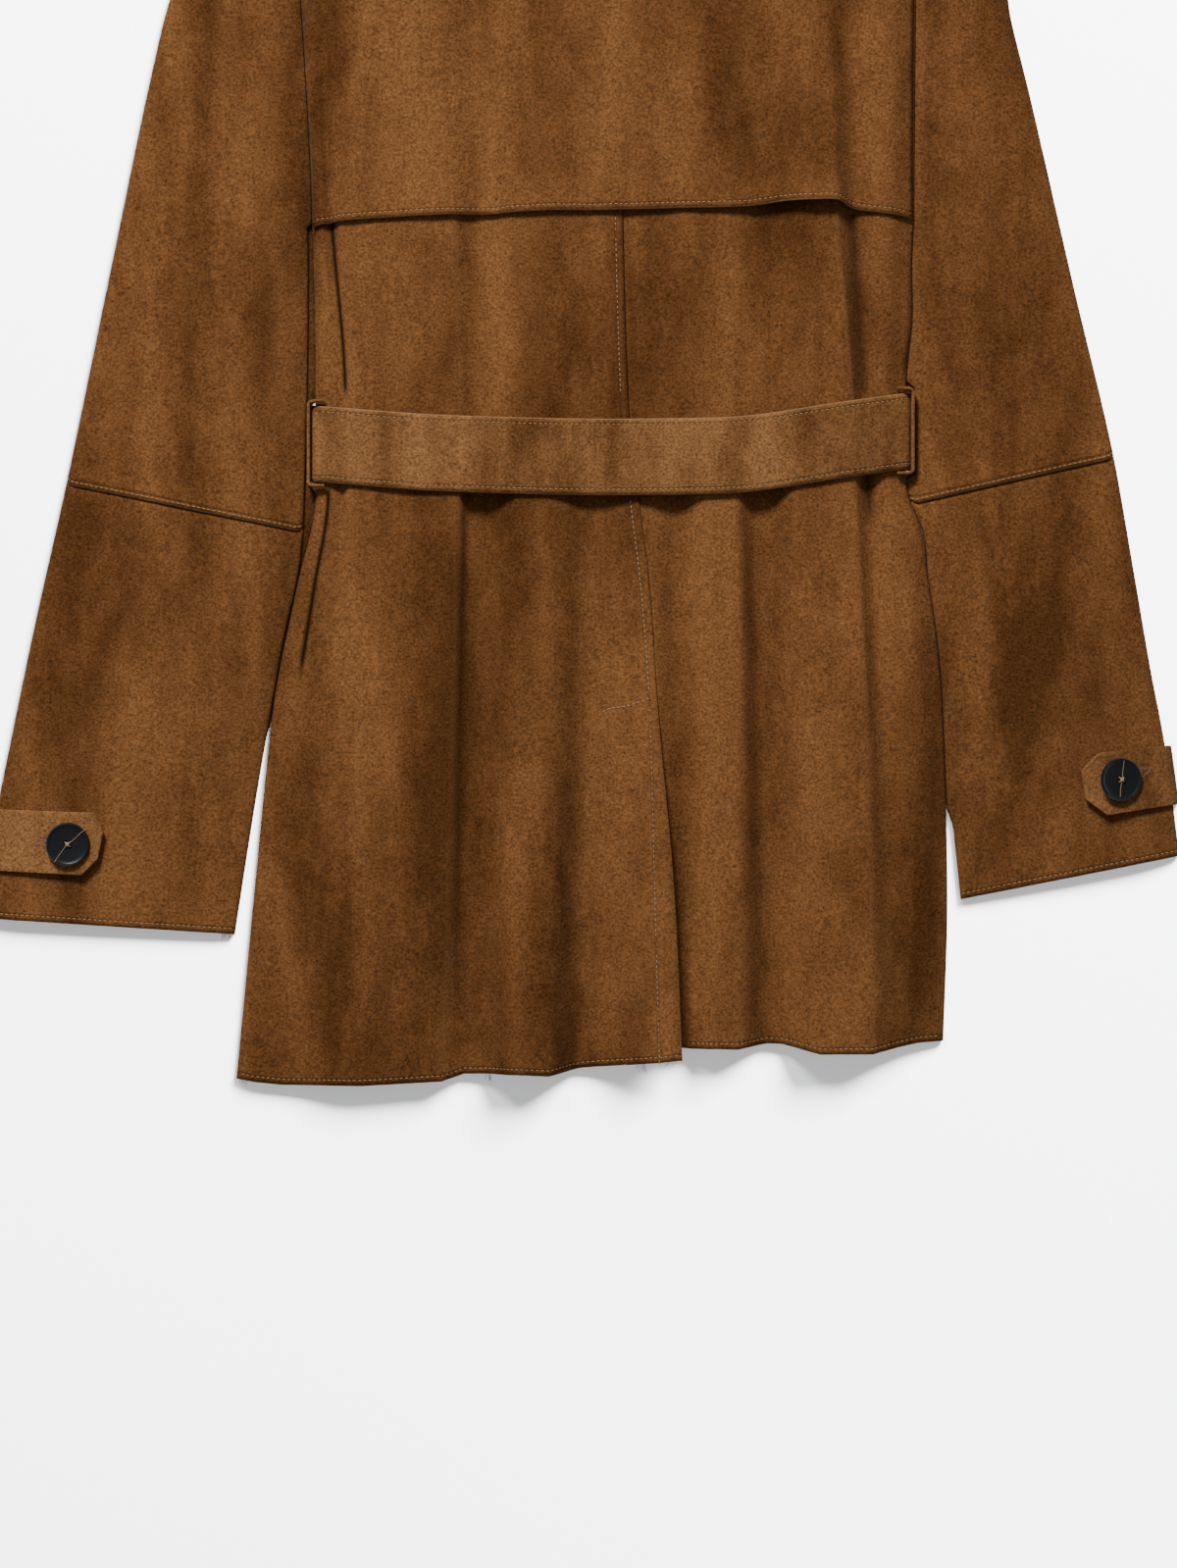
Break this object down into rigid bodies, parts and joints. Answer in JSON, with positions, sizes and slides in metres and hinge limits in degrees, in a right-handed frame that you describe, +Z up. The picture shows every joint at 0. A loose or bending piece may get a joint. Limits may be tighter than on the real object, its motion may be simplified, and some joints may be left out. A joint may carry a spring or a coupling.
{
  "type": "faux suede trench coat laid flat",
  "caption": "Short belted trench coat in brown faux suede, laid flat back up, with storm flap, vent, cuff tabs and plastic buttons.",
  "frame": {"origin": "middle of the coat's footprint, on the surface it lies on", "axes": "+Y runs up the back to the collar, +X to the coat's right-hand side as seen, +Z up from the surface"},
  "size_m": [0.8594, 0.903, 0.03],
  "materials": {
    "suede": "brushed faux suede, tobacco brown",
    "light_suede": "brushed faux suede, a shade lighter",
    "button_plastic": "satin blue-black plastic"
  },
  "bodies": {
    "root": {"back_left": "suede", "back_right": "suede", "storm_flap": "suede", "front_left": "suede", "front_right": "suede", "belt": "light_suede", "belt_loop_left": "light_suede", "belt_loop_right": "light_suede", "collar_stand": "suede", "collar_fall": "suede", "sleeve_left_top_upper": "suede", "sleeve_left_top_lower": "suede", "sleeve_left_under": "suede", "sleeve_right_top_upper": "suede", "sleeve_right_top_lower": "suede", "sleeve_right_under": "suede", "cuff_tab_left": "light_suede", "cuff_tab_right": "light_suede", "cuff_button_left": "button_plastic", "cuff_button_right": "button_plastic"}
  },
  "joints": []
}
